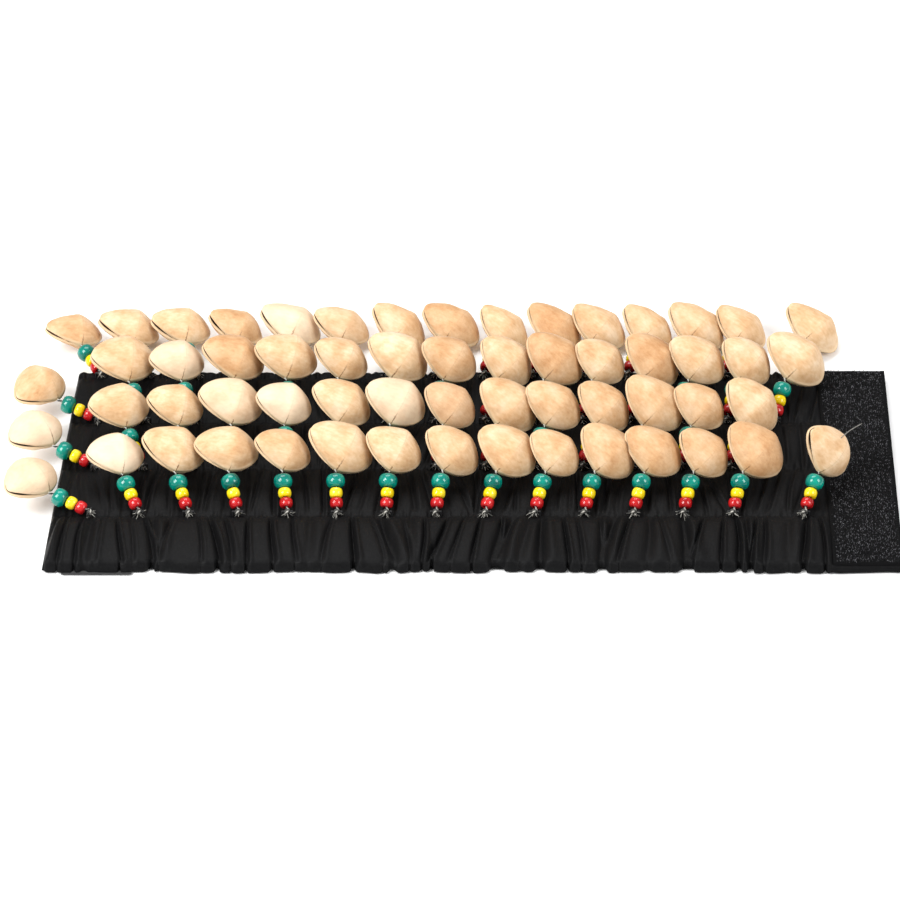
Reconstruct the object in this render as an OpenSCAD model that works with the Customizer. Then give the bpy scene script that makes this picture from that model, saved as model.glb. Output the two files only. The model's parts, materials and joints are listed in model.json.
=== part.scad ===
// Foot rattle: a gathered cloth ankle band, closed by hook and loop tape, that carries four rows of hollow nut
// shells. Each shell hangs on a short cord with a red, a yellow and a green bead, from a knot on a tack stitch.
// It lies flat, as in the photograph: X along the band, Y away from the viewer, Z up, all in millimetres.

/* [Band] */
// Length of the band, from the loop end to the hook end
band_length = 390; // [340:1:460]
// Depth of the free hem in front of the last row
hem_depth = 35; // [28:1:48]
// Cloth left behind the first row
back_margin = 4; // [4:0.5:12]
// Distance between the rows of shells
row_pitch = 33; // [32:0.5:40]
// How far the left back corner is pulled in by the gathers
corner_pull = 9; // [0:1:14]
// Thickness of the lining, next to the ankle
lining_t = 1.6; // [1.4:0.1:2.4]
// Thickness of the gathered cover where it is stitched down
cover_t = 1; // [0.8:0.1:1.6]
// Width of the turned-in edge that joins lining and cover
turn_w = 3; // [2:0.5:4]

/* [Gathers] */
// Height of the folds in the hem
hem_fold = 3.2; // [1:0.1:4]
// Height of the folds between the rows
row_fold = 1.8; // [0.5:0.1:2.2]
// Mean distance between folds
fold_pitch = 15; // [12:0.5:24]
// How far the front edge swings in and out
scallop = 1.2; // [0:0.1:2]

/* [Elastic] */
// Width of the elastic in each row's channel
elastic_w = 7; // [5:0.5:9]
// Thickness of the elastic
elastic_t = 1; // [0.8:0.1:1.4]

/* [Closure] */
// Width of the hook tape and of the loop tape
tape_w = 32; // [25:1:40]
// Thickness of the loop tape, let into the lining
loop_t = 1; // [0.8:0.1:1.2]
// How far the loop tape shows in front of the hem
loop_peek = 1.5; // [0:0.5:3]
// Thickness of the hook tape's woven backing
hook_back_t = 0.8; // [0.6:0.1:1.2]
// Height of the hook field above its backing
hook_t = 0.9; // [0.6:0.1:1.4]
// Plain selvedge each side of the hook field
selvedge = 1.8; // [1:0.2:3]

/* [Shells] */
// Length from the keel to the gaping beak
shell_beak = 17.4; // [15:0.2:17.8]
// Length from the keel to the closed tail
shell_tail = 12.6; // [11:0.2:13]
// Width along the cord, across the seam
shell_width = 24; // [20:0.2:24.4]
// Thickness through both valves
shell_thickness = 16.4; // [13:0.2:16.6]
// Wall of a valve
shell_wall = 1.5; // [1.2:0.1:2]
// Slope of each valve away from the keel, in degrees
keel_angle = 12; // [8:1:16]
// Opening between the valves at the beak
gape = 1.7; // [1:0.1:2.2]
// Depth of the gape from the tip of the beak
gape_depth = 8.5; // [5:0.5:10]
// Turn of a shell across its cord, in degrees
shell_yaw_angle = 22; // [18:1:26]
// Spread of that turn from shell to shell, in degrees
yaw_spread_angle = 4; // [0:1:5]
// Roll of a shell about its cord, beak up, in degrees
shell_roll_angle = 23; // [20:1:26]
// Spread of that roll from shell to shell, in degrees
roll_spread_angle = 4; // [0:1:5]

/* [Beads] */
// Diameter of the green bead
green_d = 9; // [7.5:0.1:9.4]
// Length of the green bead
green_l = 6.6; // [5:0.1:7.4]
// Diameter of the yellow and the red bead
small_d = 6.2; // [5:0.1:6.6]
// Length of the yellow and the red bead
small_l = 4.6; // [4:0.1:5.4]
// Bore through every bead
bead_bore_d = 2.2; // [2:0.1:2.6]

/* [Cords] */
// Diameter of the cord
cord_d = 1.4; // [1:0.1:1.5]
// Diameter of the knot at each end of a cord
knot_d = 3.2; // [3:0.1:3.8]
// Diameter of the tack stitch that a knot swings on
tack_d = 0.8; // [0.6:0.1:1]
// Clearance between the pieces strung on a cord
string_gap = 0.25; // [0.2:0.05:0.5]
// Clearance round the tack stitch and the cord in its holes
swing_gap = 0.3; // [0.2:0.05:0.5]

/* [Layout] */
// Rise of the cords in rows two to four, in degrees
rise_angle = 28; // [26:1:32]
// Rise of the cords that hang over the left end, in degrees
low_rise_angle = 16; // [14:0.5:20]
// Rise of the cords that hang over the back edge, in degrees
back_rise_angle = 8.5; // [8:0.5:16]
// Distance from the left end to the first knot
first_knot = 20; // [16:1:24]
// Distance from the last knot to the hook tape
last_knot = 11.4; // [8:0.2:14]
// Distance wanted between neighbouring knots
knot_pitch = 22.5; // [22.5:0.5:30]
// Distance from the last knot but one to the last, beside the hook tape
last_gap = 32.6; // [26:0.2:36]
// Lean of the cords at the left of a row, in degrees
lean_left_angle = -30; // [-34:1:-20]
// Lean of the cords at the right of a row, in degrees
lean_right_angle = 14; // [0:1:20]
// Lean of the cords that hang over the left end, in degrees
lean_end_angle = -70; // [-76:1:-60]
// Roll of the shells that hang over the left end, in degrees
end_roll_angle = 4; // [0:1:8]
// Turn of the lone shell at the right end, in degrees
lone_yaw_angle = 14; // [8:1:20]
// Roll of the lone shell, beak up, in degrees
lone_roll_angle = 44; // [38:1:48]
// Rise of the lone shell's cord, in degrees
lone_rise_angle = 34; // [30:1:38]
// Lean of the lone shell's cord, in degrees
lone_lean_angle = 20; // [14:1:24]
// Spread of the shells' sizes about the mean, as a share
size_spread = 0.07; // [0:0.01:0.09]

/* [Hidden] */
rows = 4;
band_w = hem_depth + (rows - 1)*row_pitch + back_margin;
x_left = -band_length/2;
x_right = band_length/2;
y_front = -band_w/2;
y_back = band_w/2;
z_elastic = lining_t;
z_cover = z_elastic + elastic_t;
z_stitch = z_cover + cover_t;
hook_x = x_right - tape_w;
x_first = x_left + first_knot;
row_span = hook_x - last_knot - x_first;
columns = floor((row_span - last_gap)/knot_pitch) + 2;
pitch = (row_span - last_gap)/(columns - 2);

half_w = shell_width/2;
half_t = shell_thickness/2;
lemon_r = (half_w*half_w/half_t + half_t)/2;
seam_drop = lemon_r - half_t;

outer_rings = [-0.9, -0.68, -0.36, 0, 0.42, 0.78];
inner_rings = [-0.8, -0.4, 0, 0.6];

s_red = knot_d/2 + string_gap + small_l/2;
s_yellow = s_red + small_l + string_gap;
s_green = s_yellow + (small_l + green_l)/2 + string_gap;
green_end_r = sqrt(green_d*green_d - green_l*green_l)/2;
z_axis = z_stitch + small_d/2 - s_red*sin(min(low_rise_angle, back_rise_angle)) + swing_gap;
swing_bore_d = tack_d + 2*swing_gap;
shell_hole_d = cord_d + 2*swing_gap;

function yaw(c, k) = shell_yaw_angle + yaw_spread_angle*vary(c, k, 2);
function s_shell(yaw) = s_green + green_l/2 + string_gap + green_end_r*tan(yaw);
function s_stop(yaw) = s_shell(yaw) + 4*swing_gap
    + (shell_wall + knot_d/2)/(cos(yaw + keel_angle)*half_w/lemon_r);
function row_y(k) = y_front + hem_depth + (rows - k)*row_pitch;
function row_rise(k) = k == 1 ? back_rise_angle : rise_angle;
function knot_x(c) = c < columns ? x_first + (c - 1)*pitch : hook_x - last_knot;
function column_x(k, c) = k == 2 && c == columns ? knot_x(c - 1) + min(pitch, last_gap) : knot_x(c);
function vary(c, k, seed) = sin(137.5*c + 71*k + 53*seed);
function lean(c) = lean_left_angle + (lean_right_angle - lean_left_angle)*min(1, (c - 1)/8);
function first_column(k) = k == 1 ? 1 : 2;
function last_column(k) = k > 2 ? columns - 1 : columns;
function left_edge(y) = x_left + corner_pull*(y - y_front)/band_w;

// Radius of a valve at a distance u from the keel: an arc from lemon_r at the keel down to the seam at the tip
function valve_arc(a) = (a*a + half_t*half_t)/(2*(half_t*cos(keel_angle) - a*sin(keel_angle)));
function valve_r(u, inset) = let (a = u < 0 ? shell_beak : shell_tail, arc = valve_arc(a))
    lemon_r - arc*cos(keel_angle) + sqrt(pow(arc - inset, 2) - pow(abs(u) + arc*sin(keel_angle), 2));
// Where a valve of that inset comes to its tip, on the side of length a
function valve_tip(a, inset) = let (arc = valve_arc(a))
    sqrt(pow(arc - inset, 2) - pow(seam_drop - lemon_r + arc*cos(keel_angle), 2)) - arc*sin(keel_angle);

// Skin of a nut, lofted from pointed ovals: each is two arcs that meet at the seam
module nut_skin(inset, shares, n) {
  beak = valve_tip(shell_beak, inset);
  tail = valve_tip(shell_tail, inset);
  rings = len(shares);
  points = concat([[-beak, 0, 0]],
      [for (t = shares) let (u = t < 0 ? t*beak : t*tail, r = valve_r(u, inset), start = asin(seam_drop/r))
        for (i = [0:2*n - 1]) let (side = i < n ? 1 : -1, turn = start + (180 - 2*start)*(i % n)/n)
          [u, side*r*cos(turn), side*(r*sin(turn) - seam_drop)]],
      [[tail, 0, 0]]);
  m = 2*n;
  last = rings*m + 1;
  faces = concat(
      [for (i = [0:m - 1]) [0, 1 + i, 1 + (i + 1) % m]],
      [for (j = [0:rings - 2]) for (i = [0:m - 1]) let (p = 1 + j*m + i, q = 1 + j*m + (i + 1) % m)
        each [[p, q + m, q], [p, p + m, q + m]]],
      [for (i = [0:m - 1]) [last, last - m + (i + 1) % m, last - m + i]]);
  polyhedron(points = points, faces = faces, convexity = 4);
}

// The whole nut: two valves grown together, with the gape sawn in at the beak and the cord's hole at the keel,
// drilled the way the cord runs
module nut(yaw) {
  difference() {
    nut_skin(0, outer_rings, 5);
    nut_skin(shell_wall, inner_rings, 4);
    translate([-shell_beak, 0, 0])
      rotate([90, 0, 0])
        linear_extrude(height = shell_width, center = true)
          polygon([[-2, -gape/2], [gape_depth, -gape/6], [gape_depth, gape/6], [-2, gape/2]]);
    translate([0, -half_w, 0])
      rotate([0, 0, yaw])
        rotate([-90, 0, 0])
          cylinder(d = shell_hole_d, h = 6*shell_wall, center = true, $fn = 24);
  }
}

// A nut hung on its cord: the cord runs along Y and enters at the keel's lower end
module hung_shell(size, yaw, roll) {
  rotate([0, roll, 0])
    translate([0, s_shell(yaw), 0])
      rotate([0, 0, -yaw])
        scale(size)
          translate([0, half_w, 0])
            nut(yaw);
}

module bead(d, l) {
  rotate([-90, 0, 0])
    rotate_extrude($fn = 40)
      difference() {
        intersection() {
          circle(d = d, $fn = 48);
          translate([0, -l/2])
            square([d, l]);
        }
        translate([0, -l])
          square([bead_bore_d/2, 2*l]);
      }
}

// Cord with the knot that swings on its tack stitch and the stop knot inside the nut
module cord(turn, yaw) {
  difference() {
    rotate([-90, 45, 0])
      rotate_extrude($fn = 32)
        intersection() {
          union() {
            circle(d = knot_d, $fn = 40);
            square([cord_d/2, s_stop(yaw)]);
            translate([0, s_stop(yaw)])
              circle(d = knot_d, $fn = 40);
          }
          translate([0, -knot_d])
            square([knot_d, s_stop(yaw) + 2*knot_d]);
        }
    rotate([0, 0, turn])
      rotate([0, 90, 0])
        cylinder(d = swing_bore_d, h = 2*knot_d, center = true, $fn = 24);
  }
}

// Tack stitch: a thread bar on two legs that end on the cover
module tack() {
  reach = knot_d/2 + swing_gap + tack_d/2;
  rotate([0, 90, 0])
    cylinder(d = tack_d, h = 2*reach, center = true, $fn = 16);
  for (side = [-1, 1])
    translate([side*reach, 0, z_stitch - z_axis])
      cylinder(d = tack_d, h = z_axis - z_stitch, $fn = 16);
  for (side = [-1, 1])
    translate([side*reach, 0, 0])
      sphere(d = tack_d, $fn = 16);
}

module at_row(k, c) {
  translate([column_x(k, c), row_y(k), z_axis])
    rotate([row_rise(k), 0, 0])
      rotate([0, 0, -lean(c)])
        children();
}

module at_end(k) {
  translate([knot_x(1), row_y(k), z_axis])
    rotate([0, 0, -lean_end_angle])
      rotate([low_rise_angle, 0, 0])
        children();
}

module at_lone() {
  translate([knot_x(columns), row_y(rows), z_axis])
    rotate([lone_rise_angle, 0, 0])
      rotate([0, 0, -lone_lean_angle])
        children();
}

module tack_row(k) {
  for (c = [1:k == 3 ? columns - 1 : columns])
    translate([column_x(k, c), row_y(k), z_axis])
      rotate([0, 0, c == 1 && k > 1 ? -lean_end_angle : 0])
        tack();
}

module shell_row(k) {
  for (c = [first_column(k):last_column(k)])
    at_row(k, c)
      hung_shell(1 + size_spread*vary(c, k, 1), yaw(c, k), shell_roll_angle + roll_spread_angle*vary(c, k, 3));
}

module bead_row(k, s, d, l) {
  for (c = [first_column(k):last_column(k)])
    at_row(k, c)
      translate([0, s, 0])
        bead(d, l);
}

module cord_row(k) {
  for (c = [first_column(k):last_column(k)])
    at_row(k, c)
      cord(lean(c), yaw(c, k));
}

module elastic(k) {
  color("WhiteSmoke")
    translate([left_edge(y_back) + turn_w, row_y(k) - elastic_w/2, z_elastic])
      cube([x_right - turn_w - left_edge(y_back) - turn_w, elastic_w, elastic_t]);
}

// Height of the folds across the band: none at the stitch lines, most in the middle of the hem
fold_lines = concat(
    [[y_front, 0.6*hem_fold], [y_front + 0.22*hem_depth, hem_fold], [y_front + 0.62*hem_depth, 0.8*hem_fold]],
    [for (k = [rows:-1:2]) each [[row_y(k) - 2.5, 0], [row_y(k) + 8, 0], [row_y(k) + 0.6*row_pitch, row_fold]]],
    [[row_y(1) - 2.5, 0], [y_back, 0]]);
fold_steps = 76;
function fold_share(x) = x > hook_x - 4 ? 0 : x < x_left + 4 ? 0 : min(1, (x - x_left)/40, (hook_x - x)/12);
function fold_wave(x, y) = let (turn = 360*x/fold_pitch)
    0.5 + 0.36*sin(turn + 40*sin(0.31*turn) + 0.8*y) + 0.14*sin(0.47*turn - 1.7*y);
function edge_y(x, y) = y == y_front ? y - scallop*fold_share(x)*sin(360*x/fold_pitch/1.6) : y;

module cover_cloth() {
  n = len(fold_lines);
  m = fold_steps + 1;
  top = [for (line = fold_lines) for (i = [0:fold_steps])
      let (x = left_edge(line[0]) + (x_right - left_edge(line[0]))*i/fold_steps)
      [x, edge_y(x, line[0]), z_stitch + line[1]*fold_share(x)*fold_wave(x, line[0])]];
  under = [for (j = [0, n - 1]) for (i = [0:fold_steps]) [top[j*m + i][0], top[j*m + i][1], z_cover]];
  u = n*m;
  faces = concat(
      [for (j = [0:n - 2]) for (i = [0:fold_steps - 1])
        each [[j*m + i, j*m + m + i, j*m + m + i + 1], [j*m + i, j*m + m + i + 1, j*m + i + 1]]],
      [for (i = [0:fold_steps - 1])
        each [[u + i, u + i + 1, u + m + i + 1], [u + i, u + m + i + 1, u + m + i]]],
      [for (i = [0:fold_steps - 1])
        each [[i, i + 1, u + i + 1], [i, u + i + 1, u + i]]],
      [for (i = [0:fold_steps - 1]) let (b = (n - 1)*m + i)
        each [[b, u + m + i, u + m + i + 1], [b, u + m + i + 1, b + 1]]],
      [for (j = [0:n - 2]) [u, j*m + m, j*m]],
      [[u, u + m, (n - 1)*m]],
      [for (j = [0:n - 2]) [u + m - 1, j*m + m - 1, j*m + 2*m - 1]],
      [[u + m - 1, n*m - 1, u + 2*m - 1]]);
  color("DimGray")
    polyhedron(points = concat(top, under), faces = faces, convexity = 10);
}

module band_outline(inset) {
  polygon([[left_edge(y_front) + inset, y_front + inset], [x_right - inset, y_front + inset],
      [x_right - inset, y_back - inset], [left_edge(y_back) + inset, y_back - inset]]);
}

module lining_cloth() {
  color("Black")
    difference() {
      union() {
        linear_extrude(height = lining_t)
          band_outline(scallop);
        linear_extrude(height = z_cover)
          difference() {
            band_outline(scallop);
            band_outline(scallop + turn_w);
          }
      }
      translate([x_left - 1, y_front - 1, -1])
        cube([1 + corner_pull + tape_w + swing_gap, band_w - back_margin + 1, 1 + loop_t]);
      for (k = [1:rows])
        translate([left_edge(y_back), row_y(k) - elastic_w/2 - swing_gap, lining_t])
          cube([band_length, elastic_w + 2*swing_gap, elastic_t]);
    }
}

module elastic_row_1() {
  elastic(1);
}

module elastic_row_2() {
  elastic(2);
}

module elastic_row_3() {
  elastic(3);
}

module elastic_row_4() {
  elastic(4);
}

module hook_tape() {
  color("Black")
    translate([hook_x, y_front + scallop, z_stitch]) {
      cube([tape_w, band_w - scallop, hook_back_t]);
      translate([selvedge, selvedge, hook_back_t])
        cube([tape_w - 2*selvedge, band_w - scallop - 2*selvedge, hook_t]);
    }
}

module loop_tape() {
  color("Black")
    translate([x_left + corner_pull, y_front - loop_peek, 0])
      cube([tape_w, band_w - back_margin + loop_peek - swing_gap, loop_t]);
}

module tacks_row_1() {
  color("Gray")
    tack_row(1);
}

module tacks_row_2() {
  color("Gray")
    tack_row(2);
}

module tacks_row_3() {
  color("Gray")
    tack_row(3);
}

module tacks_row_4() {
  color("Gray")
    tack_row(4);
}

module shells_row_1() {
  color("BurlyWood")
    shell_row(1);
}

module shells_row_2() {
  color("BurlyWood")
    shell_row(2);
}

module shells_row_3() {
  color("BurlyWood")
    shell_row(3);
}

module shells_row_4() {
  color("BurlyWood")
    shell_row(4);
}

module green_beads_row_1() {
  color("Teal")
    bead_row(1, s_green, green_d, green_l);
}

module green_beads_row_2() {
  color("Teal")
    bead_row(2, s_green, green_d, green_l);
}

module green_beads_row_3() {
  color("Teal")
    bead_row(3, s_green, green_d, green_l);
}

module green_beads_row_4() {
  color("Teal")
    bead_row(4, s_green, green_d, green_l);
}

module yellow_beads_row_1() {
  color("Gold")
    bead_row(1, s_yellow, small_d, small_l);
}

module yellow_beads_row_2() {
  color("Gold")
    bead_row(2, s_yellow, small_d, small_l);
}

module yellow_beads_row_3() {
  color("Gold")
    bead_row(3, s_yellow, small_d, small_l);
}

module yellow_beads_row_4() {
  color("Gold")
    bead_row(4, s_yellow, small_d, small_l);
}

module red_beads_row_1() {
  color("Crimson")
    bead_row(1, s_red, small_d, small_l);
}

module red_beads_row_2() {
  color("Crimson")
    bead_row(2, s_red, small_d, small_l);
}

module red_beads_row_3() {
  color("Crimson")
    bead_row(3, s_red, small_d, small_l);
}

module red_beads_row_4() {
  color("Crimson")
    bead_row(4, s_red, small_d, small_l);
}

module cords_row_1() {
  color("Gray")
    cord_row(1);
}

module cords_row_2() {
  color("Gray")
    cord_row(2);
}

module cords_row_3() {
  color("Gray")
    cord_row(3);
}

module cords_row_4() {
  color("Gray")
    cord_row(4);
}

module end_shell_2() {
  color("BurlyWood")
    at_end(2)
      hung_shell(1, yaw(1, 2), end_roll_angle);
}

module end_shell_3() {
  color("BurlyWood")
    at_end(3)
      hung_shell(1, yaw(1, 3), end_roll_angle);
}

module end_shell_4() {
  color("BurlyWood")
    at_end(4)
      hung_shell(1, yaw(1, 4), end_roll_angle);
}

module lone_shell() {
  color("BurlyWood")
    at_lone()
      hung_shell(1, lone_yaw_angle, lone_roll_angle);
}

module end_green_bead_2() {
  color("Teal")
    at_end(2)
      translate([0, s_green, 0])
        bead(green_d, green_l);
}

module end_green_bead_3() {
  color("Teal")
    at_end(3)
      translate([0, s_green, 0])
        bead(green_d, green_l);
}

module end_green_bead_4() {
  color("Teal")
    at_end(4)
      translate([0, s_green, 0])
        bead(green_d, green_l);
}

module lone_green_bead() {
  color("Teal")
    at_lone()
      translate([0, s_green, 0])
        bead(green_d, green_l);
}

module end_yellow_bead_2() {
  color("Gold")
    at_end(2)
      translate([0, s_yellow, 0])
        bead(small_d, small_l);
}

module end_yellow_bead_3() {
  color("Gold")
    at_end(3)
      translate([0, s_yellow, 0])
        bead(small_d, small_l);
}

module end_yellow_bead_4() {
  color("Gold")
    at_end(4)
      translate([0, s_yellow, 0])
        bead(small_d, small_l);
}

module lone_yellow_bead() {
  color("Gold")
    at_lone()
      translate([0, s_yellow, 0])
        bead(small_d, small_l);
}

module end_red_bead_2() {
  color("Crimson")
    at_end(2)
      translate([0, s_red, 0])
        bead(small_d, small_l);
}

module end_red_bead_3() {
  color("Crimson")
    at_end(3)
      translate([0, s_red, 0])
        bead(small_d, small_l);
}

module end_red_bead_4() {
  color("Crimson")
    at_end(4)
      translate([0, s_red, 0])
        bead(small_d, small_l);
}

module lone_red_bead() {
  color("Crimson")
    at_lone()
      translate([0, s_red, 0])
        bead(small_d, small_l);
}

module end_cord_2() {
  color("Gray")
    at_end(2)
      cord(0, yaw(1, 2));
}

module end_cord_3() {
  color("Gray")
    at_end(3)
      cord(0, yaw(1, 3));
}

module end_cord_4() {
  color("Gray")
    at_end(4)
      cord(0, yaw(1, 4));
}

module lone_cord() {
  color("Gray")
    at_lone()
      cord(lone_lean_angle, lone_yaw_angle);
}

cover_cloth();
lining_cloth();
elastic_row_1();
elastic_row_2();
elastic_row_3();
elastic_row_4();
hook_tape();
loop_tape();
tacks_row_1();
tacks_row_2();
tacks_row_3();
tacks_row_4();
shells_row_1();
shells_row_2();
shells_row_3();
shells_row_4();
green_beads_row_1();
green_beads_row_2();
green_beads_row_3();
green_beads_row_4();
yellow_beads_row_1();
yellow_beads_row_2();
yellow_beads_row_3();
yellow_beads_row_4();
red_beads_row_1();
red_beads_row_2();
red_beads_row_3();
red_beads_row_4();
cords_row_1();
cords_row_2();
cords_row_3();
cords_row_4();
end_shell_2();
end_shell_3();
end_shell_4();
lone_shell();
end_green_bead_2();
end_green_bead_3();
end_green_bead_4();
lone_green_bead();
end_yellow_bead_2();
end_yellow_bead_3();
end_yellow_bead_4();
lone_yellow_bead();
end_red_bead_2();
end_red_bead_3();
end_red_bead_4();
lone_red_bead();
end_cord_2();
end_cord_3();
end_cord_4();
lone_cord();
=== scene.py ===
import json
import math
import random

import bmesh
import bpy
import numpy as np
from mathutils import Matrix, Vector, noise


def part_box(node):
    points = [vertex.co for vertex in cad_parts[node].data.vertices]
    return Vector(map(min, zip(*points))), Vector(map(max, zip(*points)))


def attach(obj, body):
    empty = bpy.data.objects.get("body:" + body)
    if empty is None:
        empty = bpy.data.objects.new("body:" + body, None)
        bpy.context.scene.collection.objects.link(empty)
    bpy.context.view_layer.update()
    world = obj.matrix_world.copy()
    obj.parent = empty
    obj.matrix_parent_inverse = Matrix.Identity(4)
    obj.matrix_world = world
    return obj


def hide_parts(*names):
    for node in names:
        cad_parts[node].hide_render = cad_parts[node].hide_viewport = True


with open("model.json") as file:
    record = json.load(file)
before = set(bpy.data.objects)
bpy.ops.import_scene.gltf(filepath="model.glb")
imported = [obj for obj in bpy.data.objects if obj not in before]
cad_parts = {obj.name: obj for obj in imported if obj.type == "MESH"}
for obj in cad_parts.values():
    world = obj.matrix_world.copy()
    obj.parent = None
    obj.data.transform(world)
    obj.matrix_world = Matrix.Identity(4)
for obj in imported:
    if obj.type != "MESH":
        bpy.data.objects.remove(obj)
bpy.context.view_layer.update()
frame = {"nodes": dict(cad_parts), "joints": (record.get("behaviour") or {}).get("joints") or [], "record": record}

# The photograph is taken from the front, a little over forty degrees above the band, with a long lens.
# The band lies flat on a white table under three soft boxes, left, right and behind, in a pale room.
mm = 0.001
scene = bpy.context.scene
scene.view_settings.view_transform = "Standard"
elevation = math.radians(40.5)
away = Vector((0.0, -math.cos(elevation), math.sin(elevation)))
aim = Vector((-10.2, 5.5, 9.5)) * mm
lens = bpy.data.cameras.new("photo_lens")
lens.sensor_width = 36.0
lens.lens = 199.0
lens.clip_start = 0.05
viewer = bpy.data.objects.new("photo_camera", lens)
view_distance = 2.3
viewer.location = aim + away * view_distance
viewer.rotation_euler = away.to_track_quat("Z", "Y").to_euler()
scene.collection.objects.link(viewer)
scene.camera = viewer

sky = bpy.data.worlds.new("pale_room")
sky.use_nodes = True
sky.node_tree.nodes["Background"].inputs["Color"].default_value = (1.0, 1.0, 1.0, 1.0)
sky.node_tree.nodes["Background"].inputs["Strength"].default_value = 0.42
scene.world = sky
for label, place, size, power in (
    ("soft_box_left", (-0.75, -0.40, 0.80), (0.5, 0.7), 14.0),
    ("soft_box_right", (0.85, -0.40, 0.70), (0.45, 0.6), 7.0),
    ("soft_box_over", (-0.1, 0.45, 1.1), (0.9, 0.5), 8.0),
):
    box = bpy.data.lights.new(label, "AREA")
    box.shape = "RECTANGLE"
    box.size, box.size_y = size
    box.energy = power
    lamp = bpy.data.objects.new(label, box)
    lamp.location = place
    lamp.rotation_euler = Vector(place).to_track_quat("Z", "Y").to_euler()
    scene.collection.objects.link(lamp)


# The table top is plain white card, wide enough to fill the picture to its corners.
# It only carries the soft shadow under the band.
def paint(code):
    """A screen colour written as hex, turned into the linear values that shaders use."""
    parts = [int(code[i : i + 2], 16) / 255.0 for i in (1, 3, 5)]
    return tuple(c / 12.92 if c <= 0.04045 else ((c + 0.055) / 1.055) ** 2.4 for c in parts) + (1.0,)


def add(tree, kind, settings, links=None):
    """One shader node with its settings (inputs by name, or properties) and the sockets that feed it."""
    made = tree.nodes.new(kind)
    for key, value in settings.items():
        if isinstance(key, int) or key in made.inputs:
            made.inputs[key].default_value = value
        else:
            setattr(made, key, value)
    for key, socket in (links or {}).items():
        tree.links.new(socket, made.inputs[key])
    return made


def ramp(tree, fac, stops):
    """A colour ramp fed by one socket; stops are (position, hex colour)."""
    made = tree.nodes.new("ShaderNodeValToRGB")
    bar = made.color_ramp.elements
    while len(bar) < len(stops):
        bar.new(0.5)
    for element, (position, code) in zip(bar, stops):
        element.position = position
        element.color = paint(code)
    tree.links.new(fac, made.inputs["Fac"])
    return made.outputs["Color"]


def material(name, settings):
    """A new material with one Principled shader, and its node tree."""
    made = bpy.data.materials.new(name)
    made.use_nodes = True
    shader = made.node_tree.nodes["Principled BSDF"]
    for key, value in settings.items():
        shader.inputs[key].default_value = value
    return made, made.node_tree, shader


card, tree, shader = material("white_card", {"Roughness": 0.9, "Specular IOR Level": 0.1})
spots = add(tree, "ShaderNodeTexCoord", {})
fibre = add(tree, "ShaderNodeTexNoise", {"Scale": 60.0, "Detail": 3.0}, {"Vector": spots.outputs["Object"]})
dye_and_glint = ramp(tree, fibre.outputs["Fac"], [(0.0, "#F7F7F7"), (1.0, "#FCFCFC")])
tree.links.new(dye_and_glint, shader.inputs["Base Color"])
table_half, table_drop = 3.0, 0.6 * mm
work = bmesh.new()
bmesh.ops.create_grid(work, x_segments=4, y_segments=4, size=table_half)
bmesh.ops.translate(work, verts=work.verts, vec=(0.0, 0.0, -table_drop))
sheet = bpy.data.meshes.new("table")
work.to_mesh(sheet)
work.free()
sheet.materials.append(card)
table = bpy.data.objects.new("table", sheet)
scene.collection.objects.link(table)


# The nut shells are real seed shells: two thin woody valves with a keel round the middle, joined at
# a seam, gaping at the beak with pale worn lips. Each is drilled at the keel and strung on its cord.
def solids(node):
    """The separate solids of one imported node, each as the corners of its faces in metres."""
    work = bmesh.new()
    work.from_mesh(frame["nodes"][node].data)
    bmesh.ops.remove_doubles(work, verts=work.verts, dist=1e-6)
    bmesh.ops.triangulate(work, faces=work.faces)
    left = set(work.faces)
    found = []
    while left:
        start = left.pop()
        island, stack = [start], [start]
        while stack:
            for edge in stack.pop().edges:
                for other in edge.link_faces:
                    if other in left:
                        left.discard(other)
                        island.append(other)
                        stack.append(other)
        found.append(np.array([[v.co[:] for v in face.verts] for face in island]))
    work.free()
    return sorted(found, key=lambda c: float(c[:, :, 0].mean()))


def spread(corners):
    """Centre and principal axes of a surface, widest first, weighted by the triangles' areas."""
    area = np.linalg.norm(np.cross(corners[:, 1] - corners[:, 0], corners[:, 2] - corners[:, 0]), axis=1)
    middle = corners.mean(axis=1)
    centre = (middle * area[:, None]).sum(0) / area.sum()
    off = middle - centre
    _, axes = np.linalg.eigh((off * area[:, None]).T @ off)
    return centre, axes[:, ::-1].T


body_of = {n: b for b, members in frame["record"]["behaviour"]["bodies"].items() for n in members}


def finish_piece(name, work, skin, node, rides=None):
    """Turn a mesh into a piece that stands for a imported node, or only rides the body named."""
    bmesh.ops.recalc_face_normals(work, faces=work.faces)
    data = bpy.data.meshes.new(name)
    work.to_mesh(data)
    work.free()
    for face in data.polygons:
        face.use_smooth = True
    data.materials.append(skin)
    piece = bpy.data.objects.new(name, data)
    scene.collection.objects.link(piece)
    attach(piece, rides or body_of[node])
    if rides is None:
        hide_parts(node)
    return piece


wood, tree, shader = material("nut_shell", {"Roughness": 0.55, "Specular IOR Level": 0.3})
place = add(tree, "ShaderNodeAttribute", {"attribute_name": "nut_place"})
tone = add(tree, "ShaderNodeAttribute", {"attribute_name": "nut_tone"})
shift = add(tree, "ShaderNodeVectorMath", {"operation": "SCALE", "Scale": 90.0}, {0: tone.outputs["Vector"]})
local = add(
    tree,
    "ShaderNodeVectorMath",
    {"operation": "ADD"},
    {0: place.outputs["Vector"], 1: shift.outputs["Vector"]},
)
along = add(tree, "ShaderNodeMapping", {"Scale": (0.3, 0.75, 0.75)}, {"Vector": local.outputs["Vector"]})
blotch = add(
    tree,
    "ShaderNodeTexNoise",
    {"Scale": 0.11, "Detail": 3.0, "Roughness": 0.55},
    {"Vector": local.outputs["Vector"]},
)
streak = add(
    tree,
    "ShaderNodeTexNoise",
    {"Scale": 1.0, "Detail": 5.0, "Roughness": 0.6},
    {"Vector": along.outputs["Vector"]},
)
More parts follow.
